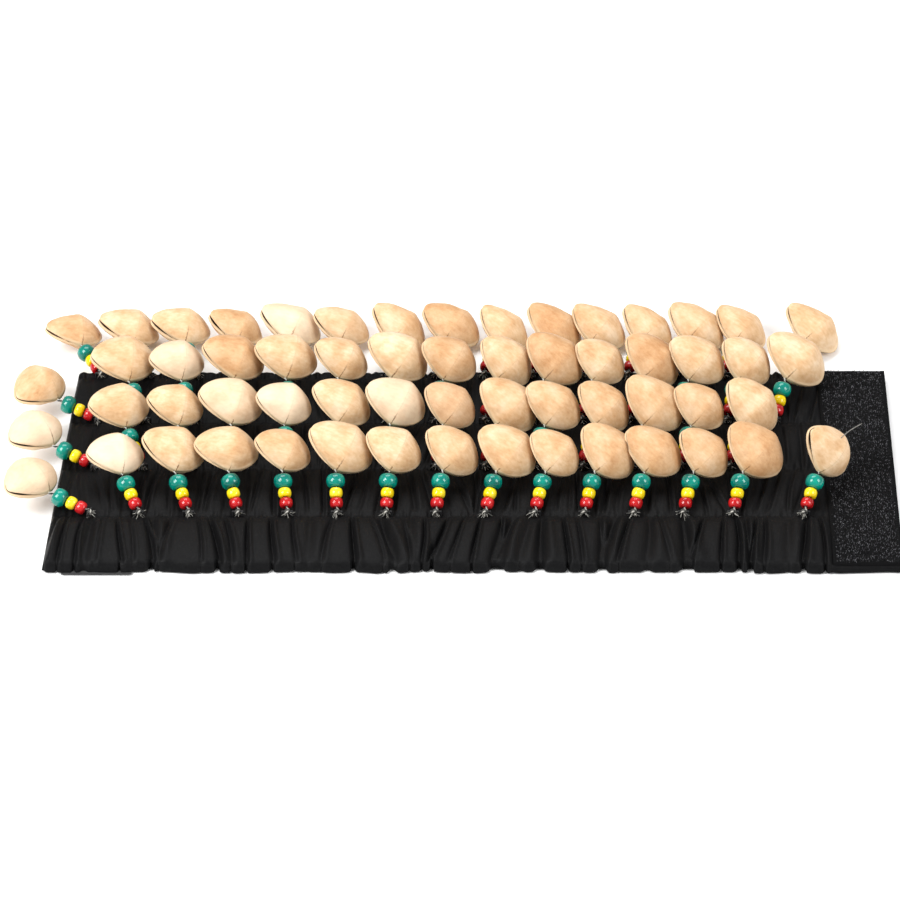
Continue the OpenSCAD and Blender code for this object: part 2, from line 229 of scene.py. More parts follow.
fleck = add(
    tree,
    "ShaderNodeTexNoise",
    {"Scale": 1.3, "Detail": 4.0, "Roughness": 0.65},
    {"Vector": local.outputs["Vector"]},
)
pale = ramp(
    tree,
    blotch.outputs["Fac"],
    [(0.28, "#C6996C"), (0.42, "#D3AC81"), (0.56, "#DFBF99"), (0.75, "#EAD3B5")],
)
warm = ramp(tree, streak.outputs["Fac"], [(0.30, "#AE7F52"), (0.50, "#D9B58A"), (0.70, "#ECD6B8")])
body = add(tree, "ShaderNodeMix", {"data_type": "RGBA", "Factor": 0.26}, {6: pale, 7: warm})
apart = add(tree, "ShaderNodeSeparateXYZ", {}, {0: place.outputs["Vector"]})
lift = add(tree, "ShaderNodeSeparateXYZ", {}, {0: tone.outputs["Vector"]})
stain = ramp(tree, fleck.outputs["Fac"], [(0.3, "#D3B190"), (0.7, "#E8D0B4")])
tinted = add(
    tree,
    "ShaderNodeMix",
    {"data_type": "RGBA", "blend_type": "MULTIPLY"},
    {0: lift.outputs["Y"], 6: body.outputs[2], 7: stain},
)
bleached = add(
    tree,
    "ShaderNodeMapRange",
    {"From Min": 0.80, "From Max": 1.0, "To Min": 0.0, "To Max": 0.6},
    {"Value": lift.outputs["X"]},
)
washed = add(
    tree,
    "ShaderNodeMix",
    {"data_type": "RGBA", 7: paint("#F1DFC8")},
    {0: bleached.outputs["Result"], 6: tinted.outputs[2]},
)
seam = add(tree, "ShaderNodeMath", {"operation": "ABSOLUTE"}, {0: apart.outputs["Z"]})
near = add(
    tree,
    "ShaderNodeMapRange",
    {"From Min": 0.9, "From Max": 2.0, "To Min": 0.65, "To Max": 0.0, "interpolation_type": "SMOOTHSTEP"},
    {"Value": seam.outputs["Value"]},
)
edged = add(
    tree,
    "ShaderNodeMix",
    {"data_type": "RGBA", 7: paint("#EBD0AA")},
    {0: near.outputs["Result"], 6: washed.outputs[2]},
)
# The inner faces of the valves are painted dark brown: painted shade inside the gape.
inside = add(tree, "ShaderNodeAttribute", {"attribute_name": "nut_side"})
shaded_inside = add(
    tree,
    "ShaderNodeMix",
    {"data_type": "RGBA", 7: paint("#3E2614")},
    {0: inside.outputs["Fac"], 6: edged.outputs[2]},
)
wander = add(
    tree,
    "ShaderNodeMath",
    {"operation": "MULTIPLY_ADD", 1: 1.5, 2: -0.75},
    {0: fleck.outputs["Fac"]},
)
wavy = add(tree, "ShaderNodeMath", {"operation": "ADD"}, {0: apart.outputs["X"], 1: wander.outputs["Value"]})
keel_line = add(tree, "ShaderNodeMath", {"operation": "ABSOLUTE"}, {0: wavy.outputs["Value"]})
groove = add(
    tree,
    "ShaderNodeMapRange",
    {"From Min": 0.05, "From Max": 0.40, "To Max": 0.0},
    {"Value": keel_line.outputs["Value"]},
)
worn = add(
    tree,
    "ShaderNodeMapRange",
    {"From Min": 0.40, "From Max": 0.62, "To Min": 0.0, "To Max": 0.17},
    {"Value": blotch.outputs["Fac"]},
)
tree.links.new(worn.outputs["Result"], groove.inputs["To Min"])
crack = add(
    tree,
    "ShaderNodeMapRange",
    {"From Min": 0.08, "From Max": 0.34, "To Min": 1.0, "To Max": 0.0},
    {"Value": keel_line.outputs["Value"]},
)
reach = add(
    tree,
    "ShaderNodeMapRange",
    {"From Min": -10.6, "To Min": 0.9, "To Max": 0.0},
    {"Value": apart.outputs["Y"]},
)
grown = add(tree, "ShaderNodeMath", {"operation": "MULTIPLY_ADD", 1: 9.0, 2: -13.6}, {0: lift.outputs["Z"]})
length = add(tree, "ShaderNodeMath", {"operation": "MAXIMUM", 1: -10.55}, {0: grown.outputs["Value"]})
tree.links.new(length.outputs["Value"], reach.inputs["From Max"])
open_crack = add(
    tree,
    "ShaderNodeMath",
    {"operation": "MULTIPLY"},
    {0: crack.outputs["Result"], 1: reach.outputs["Result"]},
)
split = add(
    tree,
    "ShaderNodeMath",
    {"operation": "MAXIMUM"},
    {0: open_crack.outputs["Value"], 1: groove.outputs["Result"]},
)
done = add(
    tree,
    "ShaderNodeMix",
    {"data_type": "RGBA", 7: paint("#6B4322")},
    {0: split.outputs["Value"], 6: shaded_inside.outputs[2]},
)
tree.links.new(done.outputs[2], shader.inputs["Base Color"])
grain = add(
    tree,
    "ShaderNodeMath",
    {"operation": "MULTIPLY_ADD", 1: 0.6},
    {0: streak.outputs["Fac"], 2: fleck.outputs["Fac"]},
)
bump = add(
    tree,
    "ShaderNodeBump",
    {"Strength": 0.35, "Distance": 0.25 * mm},
    {"Height": grain.outputs["Value"]},
)
tree.links.new(bump.outputs["Normal"], shader.inputs["Normal"])
gloss = add(
    tree,
    "ShaderNodeMapRange",
    {"From Min": 0.3, "From Max": 0.7, "To Min": 0.46, "To Max": 0.68},
    {"Value": fleck.outputs["Fac"]},
)
tree.links.new(gloss.outputs["Result"], shader.inputs["Roughness"])

beak, tail = 17.4, 12.6
half_w, half_t = 12.0, 8.2
wall, gape, gape_start = 1.2, 3.0, 4.0
keel, keel_round = math.radians(12), 0.8
lump, dimple = 0.65, 0.16
lip_x, lip_y = 0.012, 0.022
turn_r = (half_w**2 / half_t + half_t) / 2
drop = turn_r - half_t


def valve_radius(reach, x):
    """Radius of a valve at x from the keel: an arc that slopes away from the keel and ends at the seam."""
    arc = (reach**2 + half_t**2) / (2 * (half_t * math.cos(keel) - reach * math.sin(keel)))
    soft = math.sqrt(x**2 + keel_round**2) - keel_round
    soft = soft + (x - soft) * min(x / reach, 1.0)
    return turn_r - arc * math.cos(keel) + math.sqrt(max(arc**2 - (soft + arc * math.sin(keel)) ** 2, 0.0))


variants = []
for kind in range(6):
    dice = random.Random(40 + kind)
    work = bmesh.new()
    side = work.verts.layers.float.new("nut_side")
    where = work.verts.layers.float_vector.new("nut_place")
    work.verts.layers.float_vector.new("nut_tone")
    bmesh.ops.create_grid(work, x_segments=30, y_segments=18, size=1.0)
    skew = Vector((dice.uniform(-9, 9), dice.uniform(-9, 9), dice.uniform(-9, 9)))
    hook_y, hook_z, plump = dice.uniform(-1.6, 1.0), dice.uniform(-0.7, 0.7), dice.uniform(-0.3, 0.6)
    for v in work.verts:
        share = math.sin(v.co.x * math.pi / 2)
        x = share * (beak if share < 0 else tail)
        r = valve_radius(beak if share < 0 else tail, abs(x))
        start = math.asin(min(drop / r, 1.0)) if r > drop else math.pi / 2
        turn = start + (math.pi - 2 * start) * (v.co.y * 0.5 + 0.5)
        y, z = -r * math.cos(turn), r * math.sin(turn) - drop
        spot = Vector((x, y, z))
        swell = noise.noise(spot * 0.10 + skew) * lump + noise.noise(spot * 0.33 + skew) * dimple
        swell += plump * 0.5
        out = Vector((0.25 * x / beak, y / half_w, (z + 1.0) / half_t)).normalized()
        spot += out * swell * min(1.0, max(z, 0.0) / 2.0 + 0.15)
        ridge = math.exp(-((abs(v.co.y) - 1.0) ** 2) / 0.006)
        spot.x *= 1.0 + lip_x * ridge
        spot.y *= 1.0 + lip_y * ridge
        near_keel = math.exp(-(x**2) / 1.2)
        spot.z += 0.10 * near_keel * max(z / half_t, 0.0)
        opened = min(max((-x - gape_start) / (beak - gape_start), 0.0), 1.0)
        spot.z += 0.5 * gape * math.sin(opened * 1.5) + 0.05
        v.co = spot
    bmesh.ops.remove_doubles(work, verts=work.verts, dist=0.02)
    bmesh.ops.recalc_face_normals(work, faces=work.faces)
    if sum(f.normal.z * f.calc_area() for f in work.faces) < 0:
        bmesh.ops.reverse_faces(work, faces=work.faces)
    outer_rim = [e for e in work.edges if e.is_boundary]
    twin = bmesh.ops.duplicate(work, geom=list(work.verts) + list(work.edges) + list(work.faces))
    inner = [g for g in twin["geom"] if isinstance(g, bmesh.types.BMVert)]
    inner_faces = [g for g in twin["geom"] if isinstance(g, bmesh.types.BMFace)]
    inner_rim = [g for g in twin["geom"] if isinstance(g, bmesh.types.BMEdge) and g.is_boundary]
    shift_in = {v: v.normal.copy() for v in inner}
    for v in inner:
        outward = shift_in[v]
        v.co -= Vector((outward.x, outward.y, max(outward.z, 0.0) if v.co.z > 0.6 else 0.0)) * wall
    bmesh.ops.reverse_faces(work, faces=inner_faces)
    for v in inner:
        v[side] = 1.0
    lips = bmesh.ops.bridge_loops(work, edges=outer_rim + inner_rim)["faces"]
    for v in {v for f in lips for v in f.verts}:
        v[side] = 0.0
    upper = list(work.verts) + list(work.edges) + list(work.faces)
    lower = bmesh.ops.duplicate(work, geom=upper)["geom"]
    below = [g for g in lower if isinstance(g, bmesh.types.BMVert)]
    for v in below:
        v.co.z = -v.co.z
        v.co += Vector((0.1, 0.05, 0.0)) * noise.noise(v.co * 0.3)
    bmesh.ops.reverse_faces(work, faces=[g for g in lower if isinstance(g, bmesh.types.BMFace)])
    for v in work.verts:
        v[where] = v.co
        far = min(v.co.x / beak, 0.0) ** 2
        v.co += Vector((0.0, hook_y, hook_z)) * far
    data = bpy.data.meshes.new(f"nut_variant_{kind}")
    work.to_mesh(data)
    work.free()
    variants.append(data)

nut_nodes = [n for n in frame["nodes"] if n.startswith(("shells_row", "end_shell", "lone_shell"))]
for number, node in enumerate(sorted(nut_nodes)):
    dice = random.Random(900 + number)
    work = bmesh.new()
    for corners in solids(node):
        centre, axes = spread(corners)
        u, w = axes[0], axes[2]
        if w[2] < 0:
            w = -w
        cloud = corners.reshape(-1, 3) - centre
        if abs(cloud.dot(u).min()) < cloud.dot(u).max():
            u = -u
        v_axis = np.cross(w, u)
        along_u, along_v, along_w = cloud.dot(u), cloud.dot(v_axis), cloud.dot(w)
        size = (along_v.max() - along_v.min()) / 2 / half_w
        middle = (
            centre
            + u * (along_u.max() - tail * size)
            + v_axis * (along_v.max() + along_v.min()) / 2
            + w * (along_w.max() + along_w.min()) / 2
        )
        before = len(work.verts)
        work.from_mesh(variants[dice.randrange(len(variants))])
        work.verts.ensure_lookup_table()
        fresh = work.verts[before:]
        stretch = Vector((dice.uniform(0.97, 1.02), dice.uniform(0.96, 1.0), dice.uniform(0.95, 1.0)))
        pose = Matrix.Identity(4)
        for row in range(3):
            pose[row][0], pose[row][1], pose[row][2], pose[row][3] = u[row], v_axis[row], w[row], middle[row]
        shape = pose @ Matrix.Scale(size, 4) @ Matrix.Diagonal(stretch.to_4d())
        bmesh.ops.transform(work, matrix=shape, verts=fresh)
        mark = work.verts.layers.float_vector["nut_tone"]
        mood = Vector((dice.random(), dice.random() ** 1.8 * 0.6, dice.random()))
        for v in fresh:
            v[mark] = mood
    finish_piece("nuts." + node, work, wood, node)


# The beads are glossy: a large green one next to the nut, then a yellow and a red one about 0.7 as wide.
# Each is a squat barrel with rounded ends and a bore for the cord.
def glaze(name, dark, mid, light):
    """A glossy bead glaze whose colour pools and thins a little."""
    made, tree, shader = material(
        name,
        {"Roughness": 0.13, "Specular IOR Level": 0.35, "Coat Weight": 0.4, "Coat Roughness": 0.06},
    )
    spots = add(tree, "ShaderNodeTexCoord", {})
    pool = add(
        tree,
        "ShaderNodeTexNoise",
        {"Scale": 170.0, "Detail": 3.0},
        {"Vector": spots.outputs["Object"]},
    )
    pits = add(
        tree,
        "ShaderNodeTexNoise",
        {"Scale": 900.0, "Detail": 2.0},
        {"Vector": spots.outputs["Object"]},
    )
    dye_and_glint = ramp(tree, pool.outputs["Fac"], [(0.28, dark), (0.5, mid), (0.74, light)])
    tree.links.new(dye_and_glint, shader.inputs["Base Color"])
    rough = add(
        tree,
        "ShaderNodeMapRange",
        {"From Min": 0.35, "From Max": 0.8, "To Min": 0.10, "To Max": 0.26},
        {"Value": pits.outputs["Fac"]},
    )
    tree.links.new(rough.outputs["Result"], shader.inputs["Roughness"])
    bump = add(
        tree,
        "ShaderNodeBump",
        {"Strength": 0.12, "Distance": 0.15 * mm},
        {"Height": pool.outputs["Fac"]},
    )
    tree.links.new(bump.outputs["Normal"], shader.inputs["Normal"])
    return made


glazes = {
    "green": glaze("green_glaze", "#00564D", "#007A6C", "#00947F"),
    "yellow": glaze("yellow_glaze", "#D8B400", "#F0D20C", "#F8E23A"),
    "red": glaze("red_glaze", "#920B10", "#B51419", "#CE2C2E"),
}
for colour in glazes:
    wide, long = (4.38, 6.5) if colour == "green" else (3.1, 4.6)
    bore, rim, shoulder, mouth = 1.1, 0.25, 0.55, 0.9
    work = bmesh.new()
    outline = [(bore, -long / 2 + mouth), (bore, -long / 2 + rim), (bore + rim, -long / 2)]
    for step in range(0, 9):
        angle = -math.pi / 2 + math.pi * step / 8
        flat = abs(math.cos(angle)) ** 0.72
        outline.append((bore + shoulder + (wide - bore - shoulder) * flat, math.sin(angle) * long / 2))
    outline += [(bore + rim, long / 2), (bore, long / 2 - rim), (bore, long / 2 - mouth)]
    row = [work.verts.new((r, 0.0, z)) for r, z in outline]
    line = [work.edges.new((a, b)) for a, b in zip(row, row[1:])]
    bmesh.ops.spin(
        work,
        geom=row + line,
        cent=(0, 0, 0),
        axis=(0, 0, 1),
        dvec=(0, 0, 0),
        angle=2 * math.pi,
        steps=28,
        use_merge=True,
    )
    bmesh.ops.remove_doubles(work, verts=work.verts, dist=0.002)
    bmesh.ops.recalc_face_normals(work, faces=work.faces)
    master = bpy.data.meshes.new(colour + "_bead_master")
    work.to_mesh(master)
    work.free()
    for number, node in enumerate(sorted(n for n in frame["nodes"] if colour + "_bead" in n)):
        dice = random.Random(300 + number)
        work = bmesh.new()
        for corners in solids(node):
            centre, axes = spread(corners)
            before = len(work.verts)
            work.from_mesh(master)
            work.verts.ensure_lookup_table()
            fresh = work.verts[before:]
            turn = Vector(axes[2]).to_track_quat("Z", "Y").to_matrix().to_4x4()
            girth = [mm * dice.uniform(least, 1.0) for least in (0.97, 0.97, 0.95)]
            plump = Matrix.Diagonal((*girth, 1.0))
            tip = Matrix.Rotation(dice.uniform(-0.12, 0.12), 4, "X")
            tip = tip @ Matrix.Rotation(dice.uniform(-0.12, 0.12), 4, "Y")
            bmesh.ops.transform(work, matrix=Matrix.Translation(centre) @ turn @ tip @ plump, verts=fresh)
        finish_piece("beads." + node, work, glazes[colour], node)

# Each dangler hangs on one doubled cotton cord, black and off-white plies twisted together. It is tied to the
# cloth with a small overhand knot whose cut ends fray, and a stop knot holds it inside the nut.
yarn, tree, shader = material("cotton_cord", {"Roughness": 0.85, "Specular IOR Level": 0.15})
ply = add(tree, "ShaderNodeAttribute", {"attribute_name": "ply"})
spots = add(tree, "ShaderNodeTexCoord", {})
fuzz = add(tree, "ShaderNodeTexNoise", {"Scale": 2600.0, "Detail": 3.0}, {"Vector": spots.outputs["Object"]})
dark = ramp(tree, fuzz.outputs["Fac"], [(0.3, "#0E0E0F"), (0.7, "#2B2B2D")])
light = ramp(tree, fuzz.outputs["Fac"], [(0.3, "#8E8C86"), (0.7, "#D9D6CC")])
mixed = add(tree, "ShaderNodeMix", {"data_type": "RGBA"}, {0: ply.outputs["Fac"], 6: dark, 7: light})
tree.links.new(mixed.outputs[2], shader.inputs["Base Color"])
bump = add(tree, "ShaderNodeBump", {"Strength": 0.6, "Distance": 0.1 * mm}, {"Height": fuzz.outputs["Fac"]})
tree.links.new(bump.outputs["Normal"], shader.inputs["Normal"])


def strand(work, path, radius, sides, shade):
    """A thin round yarn drawn along a path of points, tapering at both ends."""
    mark = work.verts.layers.float["ply"]
    rings = []
    for i, spot in enumerate(path):
        ahead = (path[min(i + 1, len(path) - 1)] - path[max(i - 1, 0)]).normalized()
        turn = ahead.to_track_quat("Z", "Y").to_matrix().to_4x4()
        girth = radius * (0.6 if i in (0, len(path) - 1) else 1.0)
        stand = Matrix.Translation(spot) @ turn
        ring = bmesh.ops.create_circle(work, segments=sides, radius=girth, matrix=stand)["verts"]
        for v in ring:
            v[mark] = shade
        rings.append(ring)
    for a, b in zip(rings, rings[1:]):
        for i in range(sides):
            work.faces.new((a[i], a[(i + 1) % sides], b[(i + 1) % sides], b[i]))


ply_radius, ply_lay = 0.36 * mm, 2.6 * mm
lap_radius, lap_step, lap_thick = 0.95, 0.08, 0.48 * mm
hair_count, tail_length = 13, 13.0
hinge = {j["child"]: (Vector(j["pos_m"]), Vector(j["axis"])) for j in frame["joints"]}
cord_nodes = sorted(n for n in frame["nodes"] if n.startswith(("cords_row", "end_cord", "lone_cord")))
for number, node in enumerate(cord_nodes):
    dice = random.Random(7000 + number)
    pivot, hinge_axis = hinge[body_of[node]]
    whole, ties = bmesh.new(), bmesh.new()
    for corners in solids(node):
        work, tie = bmesh.new(), bmesh.new()
        work.verts.layers.float.new("ply")
        tie.verts.layers.float.new("ply")
        centre, axes = spread(corners)
        cloud = corners.reshape(-1, 3) - centre
        u = axes[0]
        ends = [Vector(centre + u * cloud.dot(u).min()), Vector(centre + u * cloud.dot(u).max())]
        ends.sort(key=lambda p: (p - pivot).cross(hinge_axis).length)
        knot_end, stop_end = ends
        ahead = (stop_end - knot_end).normalized()
        side = ahead.cross(Vector((0, 0, 1))).normalized()
        up = side.cross(ahead).normalized()
        level = Vector((ahead.x, ahead.y, 0)).normalized()
        knot = knot_end + ahead * 1.6 * mm
        span = (stop_end - knot).length - 1.0 * mm
        for half in (0, 1):
            path = []
            for i in range(33):
                turn = i / 32 * span / ply_lay * 2 * math.pi + half * math.pi
                round_it = side * math.cos(turn) + up * math.sin(turn)
                path.append(knot + ahead * span * i / 32 + round_it * ply_radius)
            strand(work, path, ply_radius, 5, float(half))
        for lap, (spin, tilt) in enumerate(((0.2, 0.5), (1.3, -0.6), (2.3, 0.1))):
            path = []
            lean = (ahead * math.cos(tilt) + side * math.sin(tilt)).normalized()
            across = lean.cross(up).normalized()
            over = across.cross(lean).normalized()
            for i in range(13):
                turn = spin + i / 12 * 2 * math.pi
                round_it = across * math.cos(turn) + over * math.sin(turn)
                path.append(
                    knot + round_it * (lap_radius + lap_step * lap) * mm + lean * (i / 12 - 0.5) * 0.9 * mm,
                )
            strand(tie, path, lap_thick, 6, 1.0 if lap == 1 else 0.12)
        stop = stop_end - ahead * 1.2 * mm
        turns = [i / 10 * 2 * math.pi for i in range(11)]
        path = [stop + (side * math.cos(turn) + up * math.sin(turn)) * 0.9 * mm for turn in turns]
        strand(work, path, 0.5 * mm, 5, 0.5)
        for hair in range(hair_count):
            drift = (
                side * dice.uniform(-1.0, 1.0)
                + Vector((0, 0, dice.uniform(-0.45, -0.08)))
                - level * dice.uniform(0.0, 0.9)
            ).normalized()
            reach = dice.uniform(0.9, 2.9) * mm
            bend = Vector((dice.uniform(-1, 1), dice.uniform(-1, 1), dice.uniform(-0.3, 0.0))) * 0.35
            path = [knot + drift * (0.9 * mm + reach * i / 4) + bend * reach * (i / 4) ** 2 for i in range(5)]
            strand(tie, path, dice.uniform(0.07, 0.15) * mm, 3, 1.0 if hair % 3 else 0.25)
        if node == "lone_cord":
            root = stop_end + ahead * 8.0 * mm + Vector((5.0, 0.0, 3.0)) * mm
            heading = Vector((0.80, 0.42, 0.42)).normalized()
            sway = Vector((0, 0, 0.8))
            path = [root + (heading * tail_length * i / 9 + sway * math.sin(i / 2.4)) * mm for i in range(10)]
            strand(work, path, 0.22 * mm, 6, 0.4)
        for part, pot in ((work, whole), (tie, ties)):
            one = bpy.data.meshes.new("one_cord")
            part.to_mesh(one)
            part.free()
            pot.from_mesh(one)
            bpy.data.meshes.remove(one)
    finish_piece("cord." + node, whole, yarn, node)
    finish_piece("knot." + node, ties, yarn, node, rides="band")

# The band is two layers of plain black cloth, shirred on four lines of elastic. The cover gathers into
# folds that fan out from each line of stitches and turn under in a soft, scalloped hem.
cloth, tree, shader = material(
    "black_cloth",
    {"Roughness": 0.52, "Specular IOR Level": 0.1, "Sheen Weight": 0.01, "Sheen Roughness": 0.4},
)
spots = add(tree, "ShaderNodeTexCoord", {})
warp = add(
    tree,
    "ShaderNodeTexWave",
    {"wave_type": "BANDS", "bands_direction": "X", "Scale": 480.0, "Distortion": 0.6, "Detail": 1.0},
    {"Vector": spots.outputs["Object"]},
)
weft = add(
    tree,
    "ShaderNodeTexWave",
    {"wave_type": "BANDS", "bands_direction": "Y", "Scale": 480.0, "Distortion": 0.6, "Detail": 1.0},
    {"Vector": spots.outputs["Object"]},
)
lint = add(tree, "ShaderNodeTexNoise", {"Scale": 800.0, "Detail": 3.0}, {"Vector": spots.outputs["Object"]})
weave = add(
    tree,
    "ShaderNodeMath",
    {"operation": "MULTIPLY"},
    {0: warp.outputs["Fac"], 1: weft.outputs["Fac"]},
)
dye_and_glint = ramp(tree, lint.outputs["Fac"], [(0.3, "#0A0A0B"), (0.62, "#0E0E0F"), (0.80, "#171718")])
tree.links.new(dye_and_glint, shader.inputs["Base Color"])
bump = add(
    tree,
    "ShaderNodeBump",
    {"Strength": 0.4, "Distance": 0.12 * mm},
    {"Height": weave.outputs["Value"]},
)
tree.links.new(bump.outputs["Normal"], shader.inputs["Normal"])

low, high = (np.array(c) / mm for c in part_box("cover_cloth"))
hook_low, hook_high = (np.array(c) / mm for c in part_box("hook_tape"))
rows = sorted(hinge[f"row_{k}"][0].y / mm for k in (1, 2, 3, 4))
fine = 1
nx, ny = 768 // fine, 108 // fine
front, back, left, right = low[1] + 1.0, high[1], low[0], high[0]
hem_puff, channel_puff, hem_ease = 3.5, 1.9, 7.0
fold_overrun, calm_end = 6.0, 40
hem_gaps, channel_gaps = (3.6, 11.5), (4.0, 9.0)
hem_cuts, channel_cuts = (1.6, 5.2), (0.7, 2.0)
crimp_length, small_crimp = 4.3, 2.7
roll_width, hem_low = 2.2, 0.35
dice = random.Random(11)
lines = [front] + rows + [back]
s = np.linspace(0, 1, nx + 1)[:, None]
t = np.linspace(0, 1, ny + 1)[None, :]
y = front + (back - front) * t + 0 * s
corner_pull = 9.0
x = left + (right - left) * s + corner_pull * t * (1 - s)
height = np.full_like(x, 0.0)
for a, b in zip(lines, lines[1:]):
    span = b - a
    inside = (y >= a - 1e-6) & (y <= b + 1e-6)
    q = np.clip((y - a) / span, 0, 1)
    hem = a == front
    spot = left - fold_overrun
    plateau = hem_puff if hem else channel_puff
    rise = np.sin(np.pi * np.clip(0.06 + 0.86 * q, 0, 1)) ** 0.55 if hem else np.sin(np.pi * q) ** 0.6
    if hem:
        rise = rise * np.clip((b - y) / hem_ease, 0, 1) ** 0.7
    height += np.where(inside, plateau * rise, 0.0)
    while spot < right + fold_overrun:
        spot += dice.uniform(*hem_gaps) if hem else dice.uniform(*channel_gaps)
        deep = dice.uniform(*hem_cuts) if hem else dice.uniform(*channel_cuts)
        if spot < left + calm_end:
            deep *= 0.5
        lean = 0.55 * noise.noise(Vector((spot * 0.05, a, 0.7))) + dice.uniform(-0.07, 0.07)
        wide = dice.choice((0.5, 0.7, 0.9, 1.6)) if hem else dice.uniform(0.7, 1.4)
        fade = dice.uniform(0.45, 1.2)
        run = (1 - q) * span if hem else (q - 0.5) * span
        bend = dice.uniform(-1.2, 1.2) * np.sin(np.pi * q)
        off = (x - spot - lean * run - bend) / (wide * (1.0 + (0.9 * (1 - q) if hem else 0.0)))
        cut = deep * (fade + (1 - fade) * q if hem else 1.0) * rise
        height -= np.where(inside, cut / (1 + off**2) ** 1.3, 0.0)
        lip = np.where(inside, 0.45 * np.minimum(cut, 3.2) * np.exp(-((off - 2.0) ** 2) / 1.1), 0.0)
        height += lip
for line_y in rows:
    close = np.exp(-(((y - line_y) / 3.2) ** 2))
    crimp = 0.28 * np.sin(x * 2 * np.pi / crimp_length + 2.0 * np.sin(x * 0.21))
    crimp = crimp + 0.16 * np.sin(x * 2 * np.pi / small_crimp + 1.0)
    height += close * crimp - 0.35 * np.exp(-(((y - line_y) / 1.1) ** 2))
under_hook = 1 / (1 + np.exp(-(x - hook_low[0] + 1.0) / 1.0))
flat_z = low[2] + 0.75
height = np.maximum(height, 0.15 * np.tanh(height / 0.15))
z = flat_z + height * (1 - under_hook) + 0.10 * under_hook
ripple = np.array([[noise.noise(Vector((float(x[i, 0]) * 0.07, 3.3, 0.5)))] for i in range(nx + 1)])
notch = np.clip(flat_z + 2.2 - z[:, ny // 16 : ny // 16 + 1], 0, 3)
y = y + (1.2 * ripple + 1.5 * notch * (1 - under_hook[:, :1])) * (1 - t) ** 8
edge = np.minimum(np.minimum(t, 1 - t) * (back - front), np.minimum(s, 1 - s) * (right - left))
roll = np.clip(1 - edge / roll_width, 0, 1)
z = z - (1 - np.sqrt(np.clip(1 - roll**2, 0, 1))) * (z - hem_low)
work = bmesh.new()
bmesh.ops.create_grid(work, x_segments=nx, y_segments=ny, size=1.0)
for v in work.verts:
    i, j = round((v.co.x + 1) / 2 * nx), round((v.co.y + 1) / 2 * ny)
    v.co = Vector((x[i, j], y[i, j], z[i, j])) * mm
bmesh.ops.recalc_face_normals(work, faces=work.faces)
cover = finish_piece("cover_cloth.sheet", work, cloth, "cover_cloth")

# The lining is the same black cloth, laid flat against the ankle, its edges turned up inside the hem.
# It closes the underside of the band, and shows only from below and at the ends.
low, high = (np.array(c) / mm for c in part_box("lining_cloth"))
tape_low, tape_high = (np.array(c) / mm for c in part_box("loop_tape"))
turned_in, tape_lift, tape_margin = 1.2, 0.85, 2.5
work = bmesh.new()
bmesh.ops.create_grid(work, x_segments=180, y_segments=60, size=1.0)
for v in work.verts:
    across, deep = (v.co.x + 1) / 2, (v.co.y + 1) / 2
    px = low[0] + (high[0] - low[0]) * across + corner_pull * deep * (1 - across)
    py = low[1] + turned_in + (high[1] - low[1] - turned_in) * deep
    wave = 0.08 * math.sin(px * 0.9 + 2 * math.sin(py * 0.1))
    pz = 0.32 + 0.22 * noise.noise(Vector((px * 0.12, py * 0.03, 0.0))) + wave
    beside = tape_low[0] - tape_margin < px < tape_high[0] + tape_margin
    over_tape = beside and py < tape_high[1] + tape_margin
    v.co = Vector((px, py, max(pz, 0.05) + (tape_lift if over_tape else 0.0))) * mm
bmesh.ops.recalc_face_normals(work, faces=work.faces)
bmesh.ops.reverse_faces(work, faces=work.faces)
lining = finish_piece("lining_cloth.sheet", work, cloth, "lining_cloth")

# Four flat elastics are sewn between the layers and draw the cloth up. They are hidden inside the band,
# so their black braided finish is a guess.
band_elastic, tree, shader = material("braided_elastic", {"Roughness": 0.8})
spots = add(tree, "ShaderNodeTexCoord", {})
braid = add(
    tree,
    "ShaderNodeTexWave",
    {"bands_direction": "X", "Scale": 260.0, "Distortion": 1.0},
    {"Vector": spots.outputs["Object"]},
)
dye_and_glint = ramp(tree, braid.outputs["Fac"], [(0.2, "#0C0C0D"), (0.8, "#202022")])
tree.links.new(dye_and_glint, shader.inputs["Base Color"])
for k in (1, 2, 3, 4):
    strip = frame["nodes"][f"elastic_row_{k}"]
    strip.data.materials.clear()
    strip.data.materials.append(band_elastic)

# The tacks are two turns of black sewing thread that catch each cord knot on the shirring line.
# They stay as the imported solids, with a twisted thread finish.
thread, tree, shader = material("sewing_thread", {"Roughness": 0.55})
spots = add(tree, "ShaderNodeTexCoord", {})
twist = add(
    tree,
    "ShaderNodeTexWave",
    {"bands_direction": "DIAGONAL", "Scale": 900.0, "Distortion": 0.5},
    {"Vector": spots.outputs["Object"]},
)
dye_and_glint = ramp(tree, twist.outputs["Fac"], [(0.2, "#0A0A0B"), (0.8, "#2A2A2C")])
tree.links.new(dye_and_glint, shader.inputs["Base Color"])
for k in (1, 2, 3, 4):
    held = frame["nodes"][f"tacks_row_{k}"]
    held.data.materials.clear()
    held.data.materials.append(thread)

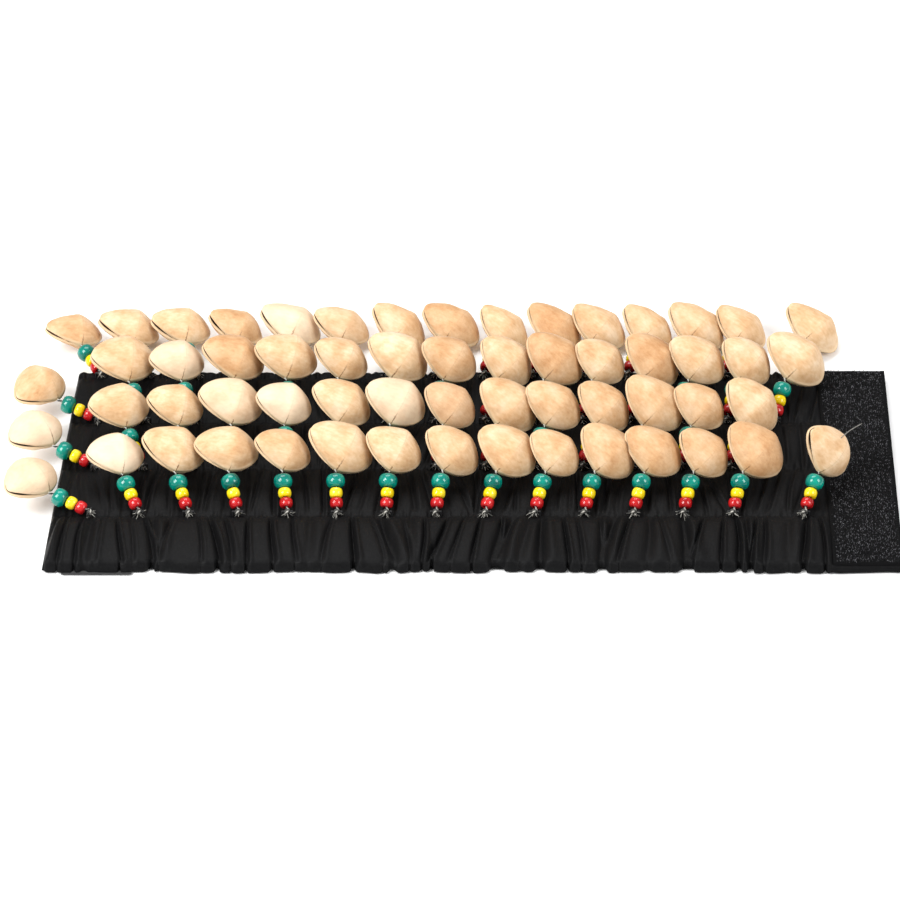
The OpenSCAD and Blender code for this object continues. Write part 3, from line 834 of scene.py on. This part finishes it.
# The right end carries the hook half of a touch fastener on its top: a woven nylon tape with a smooth
# selvedge on each side and rows of tiny moulded black hooks whose glints are partly real gloss and partly painted
# highlights.
nylon, tree, shader = material("woven_nylon", {"Roughness": 0.75, "Specular IOR Level": 0.08})
spots = add(tree, "ShaderNodeTexCoord", {})
rib = add(
    tree,
    "ShaderNodeTexWave",
    {"bands_direction": "Y", "Scale": 240.0, "Distortion": 0.4},
    {"Vector": spots.outputs["Object"]},
)
speck_and_glint = add(tree, "ShaderNodeTexNoise", {"Scale": 1500.0, "Detail": 2.0}, {"Vector": spots.outputs["Object"]})
dye_and_glint = ramp(tree, speck_and_glint.outputs["Fac"], [(0.3, "#040405"), (0.7, "#0D0D0E")])
tree.links.new(dye_and_glint, shader.inputs["Base Color"])
bump = add(tree, "ShaderNodeBump", {"Strength": 0.5, "Distance": 0.15 * mm}, {"Height": rib.outputs["Fac"]})
tree.links.new(bump.outputs["Normal"], shader.inputs["Normal"])
hooks, tree, shader = material("hook_nylon", {"Roughness": 0.2, "Specular IOR Level": 0.5})
spots = add(tree, "ShaderNodeTexCoord", {})
speck_and_glint = add(tree, "ShaderNodeTexNoise", {"Scale": 700.0, "Detail": 2.0}, {"Vector": spots.outputs["Object"]})
# The hooks' colour holds painted glints: light grey flecks on the black nylon stand in for highlights.
dye_and_glint = ramp(tree, speck_and_glint.outputs["Fac"], [(0.36, "#08080A"), (0.50, "#2A2A2D"), (0.66, "#6E6E72")])
tree.links.new(dye_and_glint, shader.inputs["Base Color"])
tape_thick, selvedge, selvedge_rise = 0.8, 1.6, 0.22
work = bmesh.new()
bmesh.ops.create_grid(work, x_segments=40, y_segments=120, size=1.0)
for v in work.verts:
    px = hook_low[0] + (hook_high[0] - hook_low[0]) * (v.co.x + 1) / 2
    py = hook_low[1] + (hook_high[1] - hook_low[1]) * (v.co.y + 1) / 2
    from_edge = min(px - hook_low[0], hook_high[0] - px)
    wave = 0.12 * noise.noise(Vector((px * 0.2, py * 0.12, 1.0)))
    pz = hook_low[2] + tape_thick + (selvedge_rise if from_edge < selvedge else 0.0) + wave
    v.co = Vector((px, py, pz)) * mm
skirt = [e for e in work.edges if e.is_boundary]
sides = bmesh.ops.extrude_edge_only(work, edges=skirt)["geom"]
for v in [g for g in sides if isinstance(g, bmesh.types.BMVert)]:
    v.co.z = (hook_low[2] + 0.05) * mm
dice = random.Random(5)
hook_pitch, course_pitch, missing_share = 1.1, 1.15, 0.12
hook = bmesh.new()
rings = []
bends = ((0, 0, 0.0), (0, 0.55, 0.0), (0.10, 0.85, 0.7), (0.34, 0.92, 1.7), (0.50, 0.70, 2.6))
for out_x, up_z, turn in bends:
    step = Matrix.Translation((out_x, 0, up_z)) @ Matrix.Rotation(turn, 4, "Y")
    rings.append(bmesh.ops.create_circle(hook, segments=4, radius=0.12, matrix=step)["verts"])
for a, b in zip(rings, rings[1:]):
    for i in range(4):
        hook.faces.new((a[i], a[(i + 1) % 4], b[(i + 1) % 4], b[i]))
hook_mesh = bpy.data.meshes.new("hook_master")
hook.to_mesh(hook_mesh)
hook.free()
comb = bmesh.new()
py = hook_low[1] + 1.2
course = 0
while py < hook_high[1] - 1.0:
    band_of_hooks = bmesh.new()
    px = hook_low[0] + 1.9 + (course % 2) * hook_pitch / 2
    while px < hook_high[0] - 1.8:
        if dice.random() > missing_share:
            before = len(band_of_hooks.verts)
            band_of_hooks.from_mesh(hook_mesh)
            band_of_hooks.verts.ensure_lookup_table()
            facing = Matrix.Rotation((0.0 if course % 2 else math.pi) + dice.uniform(-1.2, 1.2), 4, "Z")
            leaning = Matrix.Rotation(dice.uniform(-0.35, 0.35), 4, "X")
            root = Vector((px + dice.uniform(-0.3, 0.3), py + dice.uniform(-0.3, 0.3), hook_low[2] + 0.78))
            pose = Matrix.Translation(root * mm) @ facing @ leaning @ Matrix.Scale(mm, 4)
            bmesh.ops.transform(band_of_hooks, matrix=pose, verts=band_of_hooks.verts[before:])
        px += hook_pitch
    one = bpy.data.meshes.new("hook_course")
    band_of_hooks.to_mesh(one)
    band_of_hooks.free()
    comb.from_mesh(one)
    bpy.data.meshes.remove(one)
    py += course_pitch
    course += 1
teeth = finish_piece("hook_tape.hooks", comb, hooks, "hook_tape")
tape = finish_piece("hook_tape.sheet", work, nylon, "hook_tape")

# The left end carries the loop half under it: a brushed nylon tape whose raised pile of fine loops takes
# the hooks when the band is closed round the ankle. Its front end peeps out below the hem.
pile, tree, shader = material("loop_pile", {"Roughness": 0.9, "Sheen Weight": 0.4})
spots = add(tree, "ShaderNodeTexCoord", {})
tuft = add(tree, "ShaderNodeTexNoise", {"Scale": 1400.0, "Detail": 4.0}, {"Vector": spots.outputs["Object"]})
dye_and_glint = ramp(tree, tuft.outputs["Fac"], [(0.3, "#070708"), (0.7, "#19191B")])
tree.links.new(dye_and_glint, shader.inputs["Base Color"])
bump = add(tree, "ShaderNodeBump", {"Strength": 0.8, "Distance": 0.3 * mm}, {"Height": tuft.outputs["Fac"]})
tree.links.new(bump.outputs["Normal"], shader.inputs["Normal"])
pile_rise, pile_wave = 0.3, 0.1
work = bmesh.new()
bmesh.ops.create_grid(work, x_segments=30, y_segments=100, size=1.0)
for v in work.verts:
    px = tape_low[0] + (tape_high[0] - tape_low[0]) * (v.co.x + 1) / 2
    py = tape_low[1] + (tape_high[1] - tape_low[1]) * (v.co.y + 1) / 2
    pz = tape_low[2] + pile_rise + pile_wave * noise.noise(Vector((px * 0.3, py * 0.3, 0.0)))
    v.co = Vector((px, py, pz)) * mm
bmesh.ops.recalc_face_normals(work, faces=work.faces)
bmesh.ops.reverse_faces(work, faces=work.faces)
tape = finish_piece("loop_tape.sheet", work, pile, "loop_tape")
